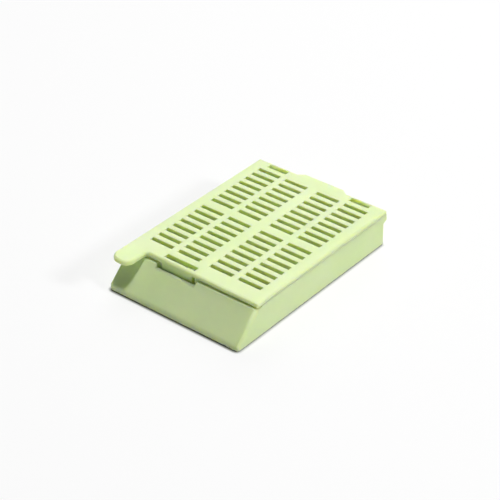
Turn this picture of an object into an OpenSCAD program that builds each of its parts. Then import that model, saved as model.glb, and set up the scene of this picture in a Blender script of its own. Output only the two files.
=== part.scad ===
// Histology cassette: a slotted tray with a slanted writing panel, and a slotted
// lid that hooks into the rear wall, swings up about the rear flange and snaps
// shut behind the panel.  X runs across, Y from the panel's foot to the rear, Z up.

/* [Overall] */
// Length of the base, from the panel's foot to the back of the rear flange
base_len = 41.2; // [32:0.1:52]
// Width of the base and of the lid
body_w = 28.8; // [22:0.1:40]
// Height of the base's rim, which carries the lid
rim_h = 5.9; // [5:0.1:9]

/* [Base] */
// Thickness of the two side walls
side_t = 1.1; // [0.8:0.1:1.6]
// Thickness of the slotted floor
floor_t = 0.9; // [0.6:0.1:1.4]
// Thickness of the upright wall behind the panel
front_wall_t = 1.3; // [0.8:0.1:1.6]
// Thickness of the rear wall
rear_wall_t = 1; // [0.8:0.1:1.4]
// Radius of the corners beside the panel
front_corner_r = 0.8; // [0.4:0.1:1.5]
// Radius of the upright rear corners
rear_corner_r = 0.4; // [0.3:0.1:1]
// Radius of the upright corners inside the chamber
chamber_corner_r = 0.7; // [0.3:0.1:1.5]
// Bevel round the underside
foot_bevel = 0.2; // [0.1:0.05:0.4]

/* [Writing panel] */
// Depth of the panel, from its foot to its top edge
panel_run = 4.95; // [4:0.05:7]
// Height of the upright lip at the panel's foot
lip_h = 1.1; // [0.5:0.1:1.4]
// Thickness of the lip
lip_t = 1; // [0.8:0.1:1.4]
// Thickness of the panel, square to its face
panel_t = 1; // [0.8:0.1:1.3]
// Drop of the panel's top edge below the rim
panel_drop = 0.3; // [0.1:0.05:0.5]
// Radius of the panel's top edge
panel_edge_r = 0.3; // [0.1:0.05:0.5]
// Radius between the lip and the slanted face
lip_edge_r = 0.9; // [0.2:0.1:1.2]
// Thickness of the land that joins the panel to the wall behind it
land_t = 1; // [0.7:0.1:1.4]
// Thickness of the gussets under the panel
gusset_t = 0.8; // [0.6:0.1:1.2]

/* [Slots] */
// Length of a drain slot
slot_len = 4.9; // [3:0.1:7]
// Width of a drain slot
slot_w = 0.85; // [0.7:0.05:1.2]
// Web between two slots in a row
column_web = 1.25; // [0.8:0.05:2.5]
// Distance from one row of slots to the next
row_pitch = 1.865; // [1.6:0.005:3]
// Extra width of the two plain bands that quarter the slot field
band_extra = 0.98; // [0.5:0.01:3]
// Least plain margin between the slot field and the chamber's walls
field_margin = 0.9; // [0.7:0.1:2]

/* [Lid] */
// Thickness of the lid
lid_t = 0.85; // [0.65:0.05:1.1]
// Gap between the closed lid and the rim
seat_gap = 0.05; // [0.02:0.01:0.1]
// Setback of the lid's front edge from the panel's top edge
lid_setback = 0.25; // [0.1:0.05:0.5]
// Inset of the lid's rear edge from the back of the flange
lid_rear_inset = 0.2; // [0.1:0.05:0.4]
// Radius of the lid's upper edges
lid_edge_r = 0.5; // [0.2:0.05:0.6]
// Radius of the lid's front corner in plan
lid_front_corner_r = 0.4; // [0.2:0.05:1.5]
// Radius of the lid's rear corners in plan
lid_rear_corner_r = 0.35; // [0.2:0.05:1.5]

/* [Thumb tab] */
// Width of the tab
thumb_w = 4.3; // [3.8:0.1:7]
// Reach of the tab over the panel
thumb_reach = 4.65; // [3.8:0.05:5]
// Radius of the tab's outer corner
thumb_outer_r = 1.9; // [1:0.1:2]
// Radius of the tab's inner corner
thumb_inner_r = 1.6; // [0.8:0.1:1.8]
// Radius of the hollow curve between the tab and the front edge
thumb_fillet_r = 0.8; // [0.6:0.1:1.5]

/* [Rear tab] */
// Width of the rear tab at its root
rear_tab_root_w = 11; // [8:0.1:13]
// Width of the rear tab at its tip
rear_tab_tip_w = 8.6; // [5:0.1:11]
// How far the rear tab stands out behind the lid
rear_tab_out = 0.85; // [0.4:0.05:1.5]

/* [Latch] */
// Sideways place of the latch, left of the middle
latch_x = -3.3; // [-5:0.05:0]
// Width of the tongue that drops from the lid's front edge
tongue_w = 6.8; // [5:0.1:9]
// Thickness of the tongue
tongue_t = 0.8; // [0.6:0.05:1.1]
// Depth of the tongue below the rim
tongue_drop = 3.1; // [2.8:0.1:3.6]
// How far the tongue's barb reaches under the catch bar
barb_bite = 0.35; // [0.2:0.05:0.5]
// Height of the barb's straight nose
barb_h = 0.5; // [0.3:0.05:0.8]
// Room around the tongue and between the barb and its bar
latch_gap = 0.15; // [0.08:0.01:0.2]
// Room at each side of the tongue in the panel's notch
notch_gap = 1.05; // [0.5:0.05:1.5]
// Sideways offset of the notch from the tongue
notch_offset = 0.25; // [0:0.05:0.4]
// Depth of the notch below the panel's top edge
notch_depth = 0.8; // [0.3:0.05:1]
// Height of the catch bar
catch_h = 0.6; // [0.4:0.05:0.9]
// Front to back width of the slot over the barb
latch_slot_w = 1.05; // [0.9:0.05:1.3]

/* [Hinge] */
// Distance from the chamber's side to each hook
hook_inset = 2.1; // [1.4:0.1:4]
// Width of each hook
hook_w = 3.9; // [2.5:0.1:5]
// Room at each side of a hook in its window
hook_side_gap = 0.35; // [0.2:0.05:0.6]
// Room between a hook and the bar it swings round
hook_gap = 0.12; // [0.08:0.01:0.2]
// Thickness of a hook's stem
hook_stem_t = 0.95; // [0.7:0.05:1.2]
// Depth of a hook below the rim
hook_drop = 2.5; // [2.3:0.1:3]
// How far the rear flange stands out from the rear wall
flange_out = 0.9; // [0.5:0.05:1.2]
// Height of the flange's upright back
flange_h = 1; // [0.8:0.05:1.4]
// Height of the slope under the flange
flange_slope_h = 0.4; // [0.2:0.05:0.7]
// Front to back width of the lid's slot over each hook
hinge_slot_w = 1.15; // [0.9:0.05:1.4]
// Width of the strip of lid behind that slot
hinge_strip_t = 0.5; // [0.4:0.05:0.8]

/* [Hidden] */
$fn = 48;
plastic = [0.78, 0.88, 0.62];
eps = 0.01;
past = 1;                       // how far a cutter runs past what it cuts
joint = 0.002;                  // how far a rounding runs past the faces it joins

// Heights
land_z = rim_h - panel_drop;
lid_z = rim_h + seat_gap;
lid_top = lid_z + lid_t;

// The panel
panel_angle = atan2(land_z - lip_h, panel_run);
panel_face = [-sin(panel_angle), cos(panel_angle)];
panel_t_y = panel_t / sin(panel_angle);

// Places from the panel's foot backwards
lid_front = panel_run + lid_setback;
tongue_back = lid_front + tongue_t;
front_wall_y = tongue_back + latch_gap;
chamber_front = front_wall_y + front_wall_t;
rear_wall_back = base_len - flange_out;
chamber_rear = rear_wall_back - rear_wall_t;
lid_rear = base_len - lid_rear_inset;
overall_len = max(base_len, lid_rear + rear_tab_out);

// The chamber and the slot field centred in it
chamber_len = chamber_rear - chamber_front;
chamber_w = body_w - 2 * side_t;
field_y = (chamber_front + chamber_rear) / 2;
row_web = row_pitch - slot_w;
column_pitch = slot_len + column_web;
rows = count_in(chamber_len, row_web, row_pitch);
columns = count_in(chamber_w, column_web, column_pitch);

// The latch
notch_w = tongue_w + 2 * notch_gap;
notch_x = latch_x + notch_offset;
notch_z = land_z - notch_depth;
tongue_tip_z = rim_h - tongue_drop;
barb_tip_y = front_wall_y + barb_bite;
barb_z = tongue_tip_z + barb_tip_y - tongue_back;
barb_top = barb_z + barb_h;
catch_z = barb_top + latch_gap;

// The hinge: the lid turns about the upper rear edge of the flange, and the
// flange's root is a round bar about that line inside each window
pivot = [base_len, rim_h];
bar_r = norm([flange_out, flange_h + flange_slope_h]);
hook_r = bar_r + hook_gap;
hinge_slot_back = lid_rear - hinge_strip_t;
hinge_slot_front = hinge_slot_back - hinge_slot_w;
hook_front = hinge_slot_front - hook_stem_t;
hook_tip = rear_wall_back - hook_gap;
hook_z = rim_h - hook_drop;
hook_x = chamber_w / 2 - hook_inset - hook_w / 2;
window_w = hook_w + 2 * hook_side_gap;
window_z = hook_z - hook_side_gap;

// The lid's outline with its thumb tab, as [X, Y, radius] of each square corner,
// anticlockwise from the front right one
lid_corners = [
    [body_w / 2, lid_front, lid_front_corner_r],
    [body_w / 2, lid_rear, lid_rear_corner_r],
    [-body_w / 2, lid_rear, lid_rear_corner_r],
    [-body_w / 2, lid_front - thumb_reach, thumb_outer_r],
    [thumb_w - body_w / 2, lid_front - thumb_reach, thumb_inner_r],
    [thumb_w - body_w / 2, lid_front, thumb_fillet_r]
];
edge_reach = 0.4;               // how far the cut that rounds an edge reaches past it

// A corner of an outline counted round and round, and its place
function corner(corners, i) = corners[(i + len(corners)) % len(corners)];
function place(c) = [c.x, c.y];

// Direction of the side that leaves corner i, and the bearing of its outer face
function heading(corners, i) =
    let (side = place(corner(corners, i + 1)) - place(corner(corners, i))) side / norm(side);
function outwards(corners, i) =
    let (along = heading(corners, i)) atan2(-along.x, along.y);

// Whether the outline juts out at corner i, rather than turning inwards
function juts_out(corners, i) = cross(heading(corners, i - 1), heading(corners, i)) > 0;

// Centre of the round at corner i
function round_centre(corners, i) =
    place(corners[i]) + corners[i][2] * (heading(corners, i) - heading(corners, i - 1));

// How far from corner i a straight edge round stops, or how far it runs past it
function run_in(corners, i, r) =
    let (c = corner(corners, i)) juts_out(corners, i % len(corners)) && c[2] < r ? -edge_reach : c[2];

// How many slots stand side by side in half of a span, past the plain band
function count_in(span, web, pitch) =
    floor((span / 2 - (band_extra + web) / 2 - field_margin + web) / pitch);

// Distances from the middle at which slots are centred, on both sides
function both_sides(count, pitch) =
    [for (side = [-1, 1], i = [0:count - 1]) side * (band_extra / 2 + (i + 0.5) * pitch)];

// Puts children drawn from the panel's foot into the part's own frame
module placed() {
    translate([0, -overall_len / 2, 0]) children();
}

// Extrudes a side view, drawn as [Y, Z], to a width centred on x
module across(width, x = 0) {
    translate([x - width / 2, 0, 0])
        rotate([90, 0, 90])
            linear_extrude(width) children();
}

// A rectangle from corner to corner with its four corners rounded
module rounded_rect(from, to, r) {
    size = to - from;
    translate(from + [r, 0]) square([size.x - 2 * r, size.y]);
    translate(from + [0, r]) square([size.x, size.y - 2 * r]);
    for (x = [from.x + r, to.x - r], y = [from.y + r, to.y - r])
        translate([x, y]) circle(r);
}

// Plan of the whole field of drain slots, the same in the floor and the lid
module slot_field() {
    for (x = both_sides(columns, column_pitch), y = both_sides(rows, row_pitch))
        translate([x - slot_len / 2, field_y + y - slot_w / 2]) square([slot_len, slot_w]);
}

// Side view of the base's outer form
module base_side_view() {
    difference() {
        polygon([
            [foot_bevel, 0],
            [0, foot_bevel],
            [0, lip_h],
            [panel_run, land_z],
            [front_wall_y, land_z],
            [front_wall_y, rim_h],
            [base_len, rim_h],
            [base_len, rim_h - flange_h],
            [rear_wall_back, rim_h - flange_h - flange_slope_h],
            [rear_wall_back, foot_bevel],
            [rear_wall_back - foot_bevel, 0]
        ]);
        side_web([lip_edge_r, lip_h - lip_edge_r * tan((90 - panel_angle) / 2)], lip_edge_r,
                 [-1, 0], panel_face);
        side_web([panel_run + panel_edge_r * tan(panel_angle / 2), land_z - panel_edge_r],
                 panel_edge_r, panel_face, [0, 1]);
    }
}

// What rounding takes off an edge seen end on, between two faces that face `first`
// and `second`
module side_web(centre, r, first, second) {
    reach = r + edge_reach;
    difference() {
        polygon([
            centre,
            centre + reach * first,
            centre + reach * [first.x, second.y],
            centre + reach * second
        ]);
        translate(centre) circle(r + joint);
    }
}

// Plan of the base, with upright corners of one radius at the front and
// another at the rear wall and the flange
module base_plan(rear) {
    middle = base_len / 2;
    rounded_rect([-body_w / 2, 0], [body_w / 2, middle + past], front_corner_r);
    rounded_rect([-body_w / 2, middle - past], [body_w / 2, rear], rear_corner_r);
    translate([-body_w / 2, middle - past]) square([body_w, 2 * past]);
}

// The form that rounds the base's corners, beside the slanted face too, and
// bevels the lower edges of its sides
module corner_form() {
    flange_z = rim_h - flange_h - flange_slope_h;
    intersection() {
        difference() {
            union() {
                linear_extrude(flange_z) base_plan(rear_wall_back);
                translate([0, 0, flange_z]) linear_extrude(rim_h) base_plan(base_len);
            }
            side_bevels();
        }
        translate([0, 0, lip_h])
            rotate([panel_angle - 90, 0, 0])
                translate([0, 0, -base_len])
                    linear_extrude(3 * base_len)
                        rounded_rect([-body_w / 2, 0], [body_w / 2, 2 * base_len], front_corner_r);
    }
}

// The cuts that bevel the lower edges of the two sides
module side_bevels() {
    foot = body_w / 2 - foot_bevel;
    for (side = [-1, 1])
        translate([0, base_len + past, 0])
            rotate([90, 0, 0])
                linear_extrude(base_len + 2 * past)
                    polygon([
                        [side * (foot - past), -past],
                        [side * (foot + 2 * past), -past],
                        [side * (foot + 2 * past), 2 * past]
                    ]);
}

// Side view of the hollow under the panel, open at the bottom
module panel_hollow_side_view() {
    roof_z = land_z - land_t;
    slope = tan(panel_angle);
    polygon([
        [lip_t, -past],
        [lip_t, max(eps, lip_h + (lip_t - panel_t_y) * slope)],
        [panel_t_y + (roof_z - lip_h) / slope, roof_z],
        [front_wall_y, roof_z],
        [front_wall_y, -past]
    ]);
}

// The hollow under the panel, left standing as gussets beside the latch and
// half-way along the wider side
module panel_hollow() {
    inner = body_w / 2 - side_t;
    beside = notch_w / 2 + gusset_t;
    middle_gusset = (notch_x + beside + inner) / 2;
    cells = [
        [-inner, notch_x - beside],
        [notch_x - notch_w / 2, notch_x + notch_w / 2],
        [notch_x + beside, middle_gusset - gusset_t / 2],
        [middle_gusset + gusset_t / 2, inner]
    ];
    for (cell = cells)
        across(cell[1] - cell[0], (cell[0] + cell[1]) / 2) panel_hollow_side_view();
}

// The notch in the panel's top edge, the pocket that the tongue drops into,
// and the cut-down wall with a window under its catch bar
module latch_cuts() {
    tongue_room = lid_front - latch_gap;
    across(notch_w, notch_x) {
        translate([0, notch_z]) square([tongue_room + eps, rim_h]);
        translate([tongue_room, tongue_tip_z]) square([front_wall_y - tongue_room, rim_h]);
        translate([front_wall_y - eps, catch_z + catch_h])
            square([front_wall_t + 2 * eps, rim_h]);
        translate([front_wall_y - eps, tongue_tip_z - latch_gap])
            square([front_wall_t + 2 * eps, catch_z - tongue_tip_z + latch_gap]);
    }
}

// One window through the rear wall, with the round bar left above it
module hinge_window(x) {
    across(window_w, x) difference() {
        translate([chamber_rear - eps, window_z])
            square([rear_wall_t + eps, rim_h]);
        translate(pivot) circle(bar_r, $fn = 96);
    }
}

// The tray
module base() {
    color(plastic)
        placed()
            intersection() {
                difference() {
                    across(body_w) base_side_view();
                    translate([0, 0, floor_t])
                        linear_extrude(rim_h)
                            rounded_rect([-chamber_w / 2, chamber_front],
                                         [chamber_w / 2, chamber_rear], chamber_corner_r);
                    translate([0, 0, -past]) linear_extrude(floor_t + 2 * past) slot_field();
                    panel_hollow();
                    latch_cuts();
                    hinge_window(-hook_x);
                    hinge_window(hook_x);
                }
                corner_form();
            }
}

// Cuts square corners round, or fills them where the outline turns inwards
module rounded_outline(corners) {
    difference() {
        polygon([for (c = corners) place(c)]);
        for (i = [0:len(corners) - 1])
            if (juts_out(corners, i)) corner_web(corners, i);
    }
    for (i = [0:len(corners) - 1])
        if (!juts_out(corners, i)) corner_web(corners, i);
}

// The piece between a square corner and its round
module corner_web(corners, i) {
    centre = round_centre(corners, i);
    middle = (place(corners[i]) + centre) / 2;
    difference() {
        translate(middle) square(corners[i][2], center = true);
        translate(centre) circle(corners[i][2]);
    }
}

// Section of a cut that rounds an edge: X outwards from the side, Y up from the top
module edge_section(r) {
    translate([-r, -r])
        difference() {
            square(r + edge_reach);
            circle(r + joint);
        }
}

// The cut that rounds the upper edge of a straight side, with its outer face on the
// right of the way it runs and its top at z = 0
module side_edge_cut(from, to, r) {
    along = (to - from) / norm(to - from);
    translate(to)
        rotate([90, 0, atan2(-along.x, along.y)])
            linear_extrude(norm(to - from)) edge_section(r);
}

// The cut that rounds the upper edge of such an outline, mitred at each corner
// whose own radius is too small to turn the round in
module upper_edge_cut(corners, r) {
    for (i = [0:len(corners) - 1]) {
        side_edge_cut(place(corners[i]) + run_in(corners, i, r) * heading(corners, i),
                      place(corner(corners, i + 1))
                      - run_in(corners, i + 1, r) * heading(corners, i), r);
        if (juts_out(corners, i) && corners[i][2] >= r)
            translate(round_centre(corners, i))
                rotate(outwards(corners, i - 1))
                    rotate_extrude(angle = 90)
                        translate([corners[i][2], 0]) edge_section(r);
        if (!juts_out(corners, i))
            translate(round_centre(corners, i))
                rotate(outwards(corners, i) + 180)
                    rotate_extrude(angle = 90)
                        translate([corners[i][2], 0]) mirror([1, 0]) edge_section(r);
    }
}

// Side view of the rear tab, with the upper edge of its tip rounded
module rear_tab_side_view() {
    root = lid_rear - 2 * lid_edge_r;
    tip = lid_rear + rear_tab_out;
    difference() {
        translate([root, lid_z]) square([tip - root, lid_t]);
        translate([tip, lid_top]) edge_section(lid_edge_r);
    }
}

// The tab that stands out behind the lid, tapered in plan, with the upper edges of
// its slanted sides rounded too; they start a little way inside the lid
module rear_tab() {
    root = [rear_tab_root_w / 2, lid_rear];
    tip = [rear_tab_tip_w / 2, lid_rear + rear_tab_out];
    start = root - 0.2 * (tip - root);
    half = [[start.x, lid_rear - 2 * lid_edge_r], start, tip];
    plan = concat(half, [for (i = [2:-1:0]) [-half[i].x, half[i].y]]);
    difference() {
        intersection() {
            across(2 * rear_tab_root_w) rear_tab_side_view();
            translate([0, 0, lid_z - past]) linear_extrude(lid_t + 2 * past) polygon(plan);
        }
        for (i = [1, 3]) {
            over = edge_reach * heading([plan[i], plan[i + 1]], 0);
            translate([0, 0, lid_top])
                side_edge_cut(plan[i] - over, plan[i + 1] + over, lid_edge_r);
        }
    }
}

// The lid's sheet, with the thumb tab, its upper edge rounded all round
module lid_sheet() {
    difference() {
        translate([0, 0, lid_z]) linear_extrude(lid_t) rounded_outline(lid_corners);
        translate([0, 0, lid_top]) upper_edge_cut(lid_corners, lid_edge_r);
    }
    rear_tab();
}

// The slot over the barb
module latch_slot() {
    across(tongue_w, latch_x)
        translate([tongue_back, lid_z - past]) square([latch_slot_w, lid_t + 2 * past]);
}

// The springy tongue and its barb, in one with the lid's front edge
module tongue() {
    root_z = lid_top - lid_edge_r;
    lead = tongue_t / 3;
    across(tongue_w, latch_x)
        polygon([
            [lid_front, root_z],
            [lid_front, tongue_tip_z + lead],
            [lid_front + lead, tongue_tip_z],
            [tongue_back, tongue_tip_z],
            [barb_tip_y, barb_z],
            [barb_tip_y, barb_top],
            [tongue_back, barb_top],
            [tongue_back, root_z]
        ]);
}

// One rear hook, hollowed round the bar that it swings about
module hook(x) {
    across(hook_w, x) difference() {
        translate([hook_front, hook_z])
            square([hook_tip - hook_front, lid_z + lid_t / 2 - hook_z]);
        translate(pivot) circle(hook_r, $fn = 96);
        translate([hinge_slot_front, lid_z]) square([hinge_slot_w, lid_t]);
    }
}

// The lid
module lid() {
    color(plastic)
        placed() {
            difference() {
                lid_sheet();
                translate([0, 0, lid_z - past]) linear_extrude(lid_t + 2 * past) slot_field();
                latch_slot();
                for (x = [-hook_x, hook_x])
                    translate([x - hook_w / 2 - hook_side_gap / 2, hinge_slot_front, lid_z - past])
                        cube([hook_w + hook_side_gap, hinge_slot_w, lid_t + 2 * past]);
            }
            tongue();
            hook(-hook_x);
            hook(hook_x);
        }
}

base();
lid();
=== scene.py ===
"""Looks of a moulded tissue cassette: a slotted tray and the slotted lid that is hooked into it."""

import logging
import math
from collections.abc import Mapping
from dataclasses import dataclass, field
from enum import Enum

import bmesh
import bpy
from mathutils import Matrix, Vector
from mathutils.bvhtree import BVHTree

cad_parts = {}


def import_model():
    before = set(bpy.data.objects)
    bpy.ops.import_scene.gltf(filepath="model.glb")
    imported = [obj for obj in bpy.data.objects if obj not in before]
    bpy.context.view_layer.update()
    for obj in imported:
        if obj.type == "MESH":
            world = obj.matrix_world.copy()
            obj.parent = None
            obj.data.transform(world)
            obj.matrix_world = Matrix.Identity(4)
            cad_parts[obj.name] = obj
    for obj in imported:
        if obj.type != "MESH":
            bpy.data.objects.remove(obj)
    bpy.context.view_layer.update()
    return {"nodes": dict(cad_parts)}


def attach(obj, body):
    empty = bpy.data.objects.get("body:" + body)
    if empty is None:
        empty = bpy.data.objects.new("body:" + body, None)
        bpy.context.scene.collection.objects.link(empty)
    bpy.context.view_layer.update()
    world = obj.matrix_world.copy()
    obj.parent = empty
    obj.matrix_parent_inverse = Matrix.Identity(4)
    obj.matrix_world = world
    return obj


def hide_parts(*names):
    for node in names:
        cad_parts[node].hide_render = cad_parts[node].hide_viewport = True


MM = 0.001
Colour = tuple[float, float, float]
Setting = float | int | str | bool | Colour

log = logging.getLogger("cassette")


def linear(red: int, green: int, blue: int) -> Colour:
    """Turns a display colour into scene-linear light.

    Args:
        red, green, blue: the colour's parts, from 0 to 255.

    Returns:
        The same colour as linear parts, from 0 to 1.
    """

    def part(value: int) -> float:
        """Undoes the display curve for one part."""
        share = value / 255
        return share / 12.92 if share <= 0.04045 else ((share + 0.055) / 1.055) ** 2.4

    return part(red), part(green), part(blue)


# ---------------------------------------------------------------- shader graphs


class Wire:
    """An output socket that adds Math nodes when it is used in an expression."""

    def __init__(self, graph: "Graph", socket: bpy.types.NodeSocket | None) -> None:
        """Keeps the graph and the socket together, or no socket for a node without outputs."""
        self.graph = graph
        self.socket = socket

    def _math(self, operation: str, first: "Wire | float", second: "Wire | float") -> "Wire":
        """Adds one Math node.

        Args:
            operation: Blender's name for the operation.
            first, second: its operands, each a wire or a number.

        Returns:
            The node's result.
        """
        return self.graph.node("ShaderNodeMath", {"operation": operation}, {0: first, 1: second})

    def __add__(self, other: "Wire | float") -> "Wire":
        """Sum."""
        return self._math("ADD", self, other)

    def __radd__(self, other: float) -> "Wire":
        """Sum with a number on the left."""
        return self._math("ADD", other, self)

    def __sub__(self, other: "Wire | float") -> "Wire":
        """Difference."""
        return self._math("SUBTRACT", self, other)

    def __rsub__(self, other: float) -> "Wire":
        """Difference from a number."""
        return self._math("SUBTRACT", other, self)

    def __mul__(self, other: "Wire | float") -> "Wire":
        """Product."""
        return self._math("MULTIPLY", self, other)

    def __rmul__(self, other: float) -> "Wire":
        """Product with a number on the left."""
        return self._math("MULTIPLY", other, self)

    def at_least(self, least: float) -> "Wire":
        """The value, or the least one where it is under that."""
        return self._math("MAXIMUM", self, least)


class Graph:
    """A material's node tree, built one call at a time."""

    def __init__(self, name: str) -> None:
        """Makes an empty material.

        Args:
            name: the material's name.
        """
        self.material = bpy.data.materials.new(name)
        self.material.use_nodes = True
        self.tree = self.material.node_tree
        self.tree.nodes.clear()

    def node(
        self,
        kind: str,
        settings: Mapping[str, Setting] | None = None,
        sockets: Mapping[str | int, "Wire | Setting"] | None = None,
        output: str | int = 0,
    ) -> Wire:
        """Adds any node.

        Args:
            kind: Blender's name for the node's type.
            settings: the node's own properties, which are set first.
            sockets: values or wires for its inputs, by name or place.
            output: which of its outputs to return.

        Returns:
            That output, ready for an expression.
        """
        made = self.tree.nodes.new(kind)
        for key, value in (settings or {}).items():
            setattr(made, key, value)
        for key, value in (sockets or {}).items():
            self.feed(made.inputs[key], value)
        return Wire(self, made.outputs[output] if made.outputs else None)

    def feed(self, socket: bpy.types.NodeSocket, value: "Wire | Setting") -> None:
        """Links a wire to an input, or writes a value on it.

        Args:
            socket: the input.
            value: what it gets.
        """
        if isinstance(value, Wire):
            self.tree.links.new(value.socket, socket)
        elif isinstance(value, tuple) and socket.type == "RGBA":
            socket.default_value = (*value, 1.0)
        else:
            socket.default_value = value

    def noise(self, size: float, detail: float = 2.0, roughness: float = 0.5) -> Wire:
        """Adds noise that is fixed to the piece.

        Args:
            size: the width of its blots, in metres.
            detail: how many finer layers it has.
            roughness: how strong those layers are.

        Returns:
            The noise, about 0.5 on average.
        """
        place = self.node("ShaderNodeTexCoord", output="Object")
        return self.node(
            "ShaderNodeTexNoise",
            {"noise_dimensions": "3D"},
            {"Vector": place, "Scale": 1 / size, "Detail": detail, "Roughness": roughness},
        )

    def blend(self, share: Wire, low: "Wire | Colour", high: "Wire | Colour") -> Wire:
        """Mixes two colours.

        Args:
            share: 0 for the low colour and 1 for the high one.
            low, high: the colours.

        Returns:
            The mixed colour.
        """
        made = self.tree.nodes.new("ShaderNodeMix")
        made.data_type = "RGBA"
        made.clamp_factor = True
        self.feed(made.inputs["Factor"], share)
        colours = [s for s in made.inputs if s.type == "RGBA"]
        self.feed(colours[0], low)
        self.feed(colours[1], high)
        return Wire(self, next(s for s in made.outputs if s.type == "RGBA"))

    def looked_at(self) -> Wire:
        """Tells what is seen straight, in a gloss or through a clear piece.

        Returns:
            1 where it is, and 0 for the light that the surface sheds around.
        """
        straight, gloss, through = (
            self.node("ShaderNodeLightPath", output=f"Is {kind} Ray")
            for kind in ("Camera", "Glossy", "Transmission")
        )
        return straight + gloss + through

    def grey(self, value: Wire) -> Wire:
        """Turns a number into a grey.

        Args:
            value: how light it is.

        Returns:
            The colour.
        """
        return self.node("ShaderNodeCombineColor", sockets={0: value, 1: value, 2: value})

    def finish(self, shader: Wire) -> bpy.types.Material:
        """Ends the graph with its surface.

        Args:
            shader: the surface's shader.

        Returns:
            The finished material.
        """
        self.node("ShaderNodeOutputMaterial", sockets={"Surface": shader})
        return self.material


# ---------------------------------------------------------------- finishes


@dataclass(frozen=True)
class MouldedAcetal:
    """Pale green acetal as it leaves a mould: satin, faintly cloudy and a little translucent.

    Attributes:
        pale, deep: the two greens that the cloudiness wanders between.
        cloud, cloud_contrast: the clouds' width, and how strongly they show.
        gloss_blot: the width of the patches of uneven gloss.
        grain, grain_depth: the width and depth of the texture that the mould's steel leaves.
        wave, wave_depth: the width and depth of a moulded face's shallow waviness.
        roughness, roughness_spread: the middle and the range of the uneven gloss.
        refraction: the plastic's refractive index.
        glow, glow_depth: the share of the light that enters the plastic, and how deep it goes.
        glow_reach: how far red, green and blue go, as shares of that depth.
    """

    pale: Colour = linear(224, 241, 186)
    deep: Colour = linear(217, 237, 176)
    cloud: float = 9 * MM
    cloud_contrast: float = 2.5
    gloss_blot: float = 1.6 * MM
    grain: float = 0.16 * MM
    grain_depth: float = 0.0035 * MM
    wave: float = 2.4 * MM
    wave_depth: float = 0.012 * MM
    roughness: float = 0.52
    roughness_spread: float = 0.12
    refraction: float = 1.48
    glow: float = 1.0
    glow_depth: float = 1.0 * MM
    glow_reach: tuple[float, float, float] = (1.25, 1.15, 0.5)

    def material(self, name: str) -> bpy.types.Material:
        """Builds the material.

        Args:
            name: what the material is called.

        Returns:
            A material whose colour, gloss and relief all vary slightly over the surface.
        """
        graph = Graph(name)
        cloud = graph.noise(self.cloud, detail=3.0)
        blots = graph.noise(self.gloss_blot, detail=3.0, roughness=0.6)
        relief = (
            graph.noise(self.grain, detail=1.0) * (self.grain_depth / MM)
            + graph.noise(self.wave) * (self.wave_depth / MM)
        )
        bump = graph.node(
            "ShaderNodeBump", sockets={"Strength": 1.0, "Distance": MM, "Height": relief}
        )
        paleness = (cloud - 0.5) * self.cloud_contrast + 0.5
        shader = graph.node(
            "ShaderNodeBsdfPrincipled",
            {"subsurface_method": "RANDOM_WALK"},
            {
                "Base Color": graph.blend(paleness, self.deep, self.pale),
                "Roughness": (blots - 0.5) * self.roughness_spread + self.roughness,
                "IOR": self.refraction,
                "Subsurface Weight": self.glow,
                "Subsurface Radius": self.glow_reach,
                "Subsurface Scale": self.glow_depth,
                "Normal": bump,
            },
        )
        return graph.finish(shader)


class Texture(Enum):
    """The two textures that the mould's steel gives the plastic."""

    SATIN = MouldedAcetal()
    STIPPLED = MouldedAcetal(
        gloss_blot=0.5 * MM,
        grain=0.13 * MM,
        grain_depth=0.012 * MM,
        wave_depth=0.006 * MM,
        roughness=0.6,
        roughness_spread=0.2,
    )


@dataclass(frozen=True)
class StudioPaper:
    """The white sweep that the cassette stands on.

    Attributes:
        tone: how much light the paper sends back.
        fibre, fibre_contrast: the width of its fibres, and how strongly they show.
        glow: how far it is evened out to white where it is looked at.
        painted_shade_reach, painted_shade_strength: the reach and strength of a painted contact
            shadow, a dark line painted into the paper's colour at an object's foot.
        painted_shade_lean: the side on which that painted shadow is strongest, leaned to stand in
            for where the lamps hang.
        painted_shade_tint: the painted contact shadow's colour, a green painted in for light
            bounced off the plastic.
    """

    tone: float = 0.9
    fibre: float = 6 * MM
    fibre_contrast: float = 0.01
    glow: float = 0.6
    painted_shade_reach: float = 0.6 * MM
    painted_shade_strength: float = 1.35
    painted_shade_lean: tuple[float, float, float] = (0.1, 0.7, 0.7)
    painted_shade_tint: Colour = linear(52, 60, 34)

    def material(self) -> bpy.types.Material:
        """Builds the paper, which shows white to the camera and keeps the shadow.

        Returns:
            The material.
        """
        graph = Graph("studio_paper")
        fibre = graph.noise(self.fibre, detail=4.0) * self.fibre_contrast
        # Painted shade: ambient occlusion, leaned to one side, darkens the paper's colour near an
        # object into a painted contact shadow.
        lean = graph.node("ShaderNodeCombineXYZ", sockets=dict(enumerate(self.painted_shade_lean)))
        open_air = graph.node(
            "ShaderNodeAmbientOcclusion",
            {"samples": 16},
            {"Distance": self.painted_shade_reach, "Normal": lean},
            output="AO",
        )
        looked_at = graph.looked_at()
        # Painted shade: 1 on open paper, falling to 0 in the painted contact shadow at an object's
        # foot, on looked-at rays only.
        free_of_painted_shade = (1 - (1 - open_air) * looked_at * self.painted_shade_strength).at_least(0.0)
        white = graph.grey(fibre + self.tone)
        # The paper's colour and its white glow both blend to a green tint in the painted contact
        # shadow, a painted bounce light from the plastic.
        paper = graph.node(
            "ShaderNodeBsdfDiffuse", sockets={"Color": graph.blend(free_of_painted_shade, self.painted_shade_tint, white)}
        )
        lit = graph.node(
            "ShaderNodeEmission",
            sockets={"Color": graph.blend(free_of_painted_shade, self.painted_shade_tint, (1.0, 1.0, 1.0))},
        )
        return graph.finish(
            graph.node(
                "ShaderNodeMixShader", sockets={0: looked_at * self.glow, 1: paper, 2: lit}
            )
        )


# ---------------------------------------------------------------- mouldings


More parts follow.
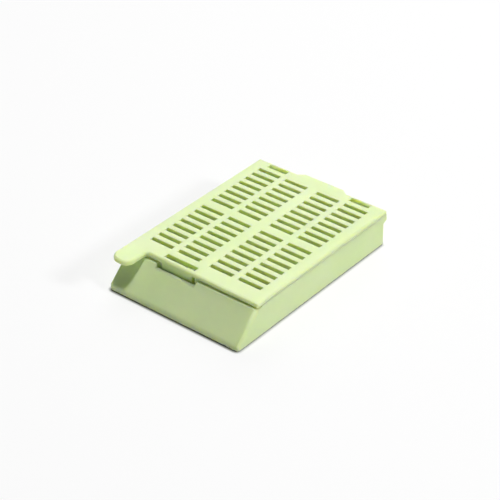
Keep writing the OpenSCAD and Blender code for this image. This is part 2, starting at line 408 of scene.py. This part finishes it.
@dataclass
class Moulding:
    """A moulding made from its construction node, with the sharp edges of the solid eased.

    Attributes:
        node, piece, body: the names of its construction node, of the new piece and of the body
            that it rides on.
        slot: the name of a material slot; not used.
        writing_face: where its stippled face faces, if it has one.
        edge_radius, edge_steps: the radius of an eased edge, and the facets across it.
        sharp_from: the turn between two faces from which their edge is eased.
        flat_within: the turn within which neighbouring facets are one flat face.
        level_within: the turn within which two faces count as facing the same way.
        weld_within: the distance within which two points are one.
        probed_at: the places along an edge where the room beside it is probed.
    """

    node: str
    piece: str
    body: str
    slot: str = "acetal"
    writing_face: Vector | None = None
    edge_radius: float = 0.07 * MM
    edge_steps: int = 2
    sharp_from: float = math.radians(50)
    flat_within: float = math.radians(0.7)
    level_within: float = math.radians(3)
    weld_within: float = 0.012 * MM
    probed_at: tuple[float, ...] = (0.1, 0.5, 0.9)

    def build(self, source: bpy.types.Object) -> bpy.types.Object:
        """Makes the piece from a copy of its construction node.

        Args:
            source: the node's object, which is left alone.

        Returns:
            The new piece, in the collection and riding on its body.
        """
        shape = bmesh.new()
        shape.from_mesh(source.data)
        bmesh.ops.remove_doubles(shape, verts=shape.verts, dist=self.weld_within)
        bmesh.ops.dissolve_limit(
            shape,
            angle_limit=self.flat_within,
            use_dissolve_boundaries=False,
            verts=shape.verts,
            edges=shape.edges,
            delimit=set(),
        )
        skin = BVHTree.FromBMesh(shape)
        bmesh.ops.bevel(
            shape,
            geom=[edge for edge in shape.edges if self.is_eased(edge, skin)],
            offset=self.edge_radius,
            offset_type="OFFSET",
            segments=self.edge_steps,
            profile=0.5,
            affect="EDGES",
            clamp_overlap=False,
            loop_slide=True,
            material=-1,
        )
        mesh = bpy.data.meshes.new(self.piece)
        shape.to_mesh(mesh)
        shape.free()
        mesh.shade_smooth()
        piece = bpy.data.objects.new(self.piece, mesh)
        bpy.context.scene.collection.objects.link(piece)
        weighted = piece.modifiers.new("flat_faces_stay_flat", "WEIGHTED_NORMAL")
        weighted.keep_sharp = True
        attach(piece, self.body)
        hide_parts(self.node)
        return piece

    def is_eased(self, edge: bmesh.types.BMEdge, skin: BVHTree) -> bool:
        """Tells whether an edge is an outer corner with room beside it for its radius.

        Args:
            edge: the edge.
            skin: the whole surface that it is on.

        Returns:
            True where the edge can be rounded.
        """
        return (
            len(edge.link_faces) == 2
            and edge.is_convex
            and edge.calc_face_angle(0.0) > self.sharp_from
            and all(self.has_room(loop, skin) for loop in edge.link_loops)
        )

    def has_room(self, loop: bmesh.types.BMLoop, skin: BVHTree) -> bool:
        """Tells whether a face stays flat for twice the radius beside one of its edges.

        Args:
            loop: the edge as a side of that face.
            skin: the whole surface.

        Returns:
            True where there is room all along the edge.
        """
        start, end = loop.vert.co, loop.link_loop_next.vert.co
        inwards = loop.face.normal.cross(end - start).normalized()
        for share in self.probed_at:
            probe = start.lerp(end, share) + inwards * 2 * self.edge_radius
            _, normal, _, away = skin.find_nearest(probe)
            if away > self.weld_within or normal.angle(loop.face.normal) > self.level_within:
                return False
        return True

    def dress(self, piece: bpy.types.Object) -> None:
        """Gives the piece its satin skin, and a stippled one where it is written on.

        Args:
            piece: what build() made.
        """
        piece.data.materials.clear()
        piece.data.materials.append(Texture.SATIN.value.material(f"{self.node}_satin"))
        if self.writing_face is None:
            return
        piece.data.materials.append(Texture.STIPPLED.value.material(f"{self.node}_stippled"))
        for face in piece.data.polygons:
            if face.normal.angle(self.writing_face) < self.level_within:
                face.material_index = 1


# ---------------------------------------------------------------- studio


@dataclass(frozen=True)
class Softbox:
    """A square white area light that points at the cassette.

    Attributes:
        name: the light's name.
        azimuth, elevation: where it hangs, in degrees as bearing() takes them.
        distance, width: how far from the cassette it hangs, and its side, in metres.
        power: its power in watts.
    """

    name: str
    azimuth: float
    elevation: float
    distance: float
    width: float
    power: float

    def build(self, target: Vector) -> bpy.types.Object:
        """Hangs the light.

        Args:
            target: the point that it faces.

        Returns:
            The light's object.
        """
        lamp = bpy.data.lights.new(self.name, "AREA")
        lamp.shape = "SQUARE"
        lamp.size = self.width
        lamp.energy = self.power
        light = bpy.data.objects.new(self.name, lamp)
        away = bearing(self.azimuth, self.elevation)
        light.location = target + away * self.distance
        light.rotation_mode = "QUATERNION"
        light.rotation_quaternion = away.to_track_quat("Z", "Y")
        bpy.context.scene.collection.objects.link(light)
        return light


def bearing(azimuth: float, elevation: float) -> Vector:
    """Gives the direction from the cassette towards a camera or lamp.

    Args:
        azimuth: degrees round from -Y towards +X.
        elevation: degrees above the horizon.

    Returns:
        The unit direction.
    """
    around, up = math.radians(azimuth), math.radians(elevation)
    return Vector(
        (math.sin(around) * math.cos(up), -math.cos(around) * math.cos(up), math.sin(up))
    )


@dataclass(frozen=True)
class Viewpoint:
    """Where the camera stands and what it looks at.

    Attributes:
        azimuth, elevation: where it stands, in degrees as bearing() takes them.
        roll: how far it is turned about its line of sight, in degrees.
        distance, target: how far it stands from the point that it looks at, and that point.
        lens, sensor: its focal length and the width of its sensor, in millimetres.
    """

    azimuth: float = 40.15
    elevation: float = 34.13
    roll: float = -1.07
    distance: float = 0.2883
    target: tuple[float, float, float] = (-3.03 * MM, 3.21 * MM, 0.0)
    lens: float = 117.3
    sensor: float = 36.0

    def build(self) -> bpy.types.Object:
        """Makes the scene's camera.

        Returns:
            The camera's object.
        """
        data = bpy.data.cameras.new("camera")
        data.lens = self.lens
        data.sensor_width = self.sensor
        data.clip_start, data.clip_end = 0.01, 20.0
        camera = bpy.data.objects.new("camera", data)
        away = bearing(self.azimuth, self.elevation)
        right = Vector((0.0, 0.0, 1.0)).cross(away).normalized()
        upright = away.cross(right)
        turn = Matrix((right, upright, away)).transposed()
        camera.rotation_mode = "QUATERNION"
        camera.rotation_quaternion = (
            turn @ Matrix.Rotation(math.radians(self.roll), 3, "Z")
        ).to_quaternion()
        camera.location = Vector(self.target) + away * self.distance
        bpy.context.scene.collection.objects.link(camera)
        bpy.context.scene.camera = camera
        return camera


@dataclass
class Studio:
    """Floor, lights, world and camera.

    Attributes:
        floor_width: the side of the square floor.
        sky: the strength of the even white surround.
        aim: the point that the lights face.
        lights, viewpoint: the lights and the camera.
    """

    floor_width: float = 6.0
    sky: float = 0.005
    aim: Vector = field(default_factory=lambda: Vector((0.0, 0.0, 3 * MM)))
    lights: list[Softbox] = field(
        default_factory=lambda: [
            Softbox("overhead", azimuth=150, elevation=85, distance=0.7, width=0.12, power=3.2),
            Softbox("side_right", azimuth=112, elevation=30, distance=0.8, width=0.12, power=2.6),
            Softbox("behind", azimuth=215, elevation=36, distance=0.8, width=0.6, power=2.6),
        ]
    )
    viewpoint: Viewpoint = field(default_factory=Viewpoint)

    def build(self) -> None:
        """Makes everything that isn't the cassette."""
        self.floor()
        self.world()
        for light in self.lights:
            light.build(self.aim)
        self.viewpoint.build()

    def floor(self) -> bpy.types.Object:
        """Lays the paper.

        Returns:
            The floor's object.
        """
        shape = bmesh.new()
        bmesh.ops.create_grid(shape, x_segments=4, y_segments=4, size=self.floor_width / 2)
        mesh = bpy.data.meshes.new("floor")
        shape.to_mesh(mesh)
        shape.free()
        floor = bpy.data.objects.new("floor", mesh)
        mesh.materials.append(StudioPaper().material())
        bpy.context.scene.collection.objects.link(floor)
        return floor

    def world(self) -> None:
        """Sets an even white surround."""
        world = bpy.data.worlds.new("surround")
        world.use_nodes = True
        background = world.node_tree.nodes["Background"]
        background.inputs["Color"].default_value = (1.0, 1.0, 1.0, 1.0)
        background.inputs["Strength"].default_value = self.sky
        bpy.context.scene.world = world


# ---------------------------------------------------------------- assembly


@dataclass
class Cassette:
    """The whole cassette.

    Attributes:
        panel_run, panel_rise: how far back and how far up the slanted writing panel goes.
        base, lid: its two mouldings.
    """

    panel_run: float = 4.95 * MM
    panel_rise: float = 4.5 * MM
    base: Moulding = field(init=False)
    lid: Moulding = field(init=False)

    def __post_init__(self) -> None:
        """Names the two mouldings and the base's slanted writing panel."""
        panel = Vector((0.0, -self.panel_rise, self.panel_run)).normalized()
        self.base = Moulding("base", "cassette_base", "base", writing_face=panel)
        self.lid = Moulding("lid", "cassette_lid", "lid")

    def build(self, nodes: Mapping[str, bpy.types.Object]) -> list[bpy.types.Object]:
        """Builds and dresses both mouldings.

        Args:
            nodes: the construction nodes by name.

        Returns:
            The finished pieces.
        """
        made = []
        for moulding in (self.base, self.lid):
            piece = moulding.build(nodes[moulding.node])
            moulding.dress(piece)
            made.append(piece)
        return made


def main() -> None:
    """Builds the cassette and its studio."""
    logging.basicConfig(level=logging.INFO, format="%(name)s: %(message)s")
    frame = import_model()
    for piece in Cassette().build(frame["nodes"]):
        log.info("%s: %d faces", piece.name, len(piece.data.polygons))
    Studio().build()
    bpy.context.scene.view_settings.view_transform = "Standard"


if __name__ == "__main__":
    main()
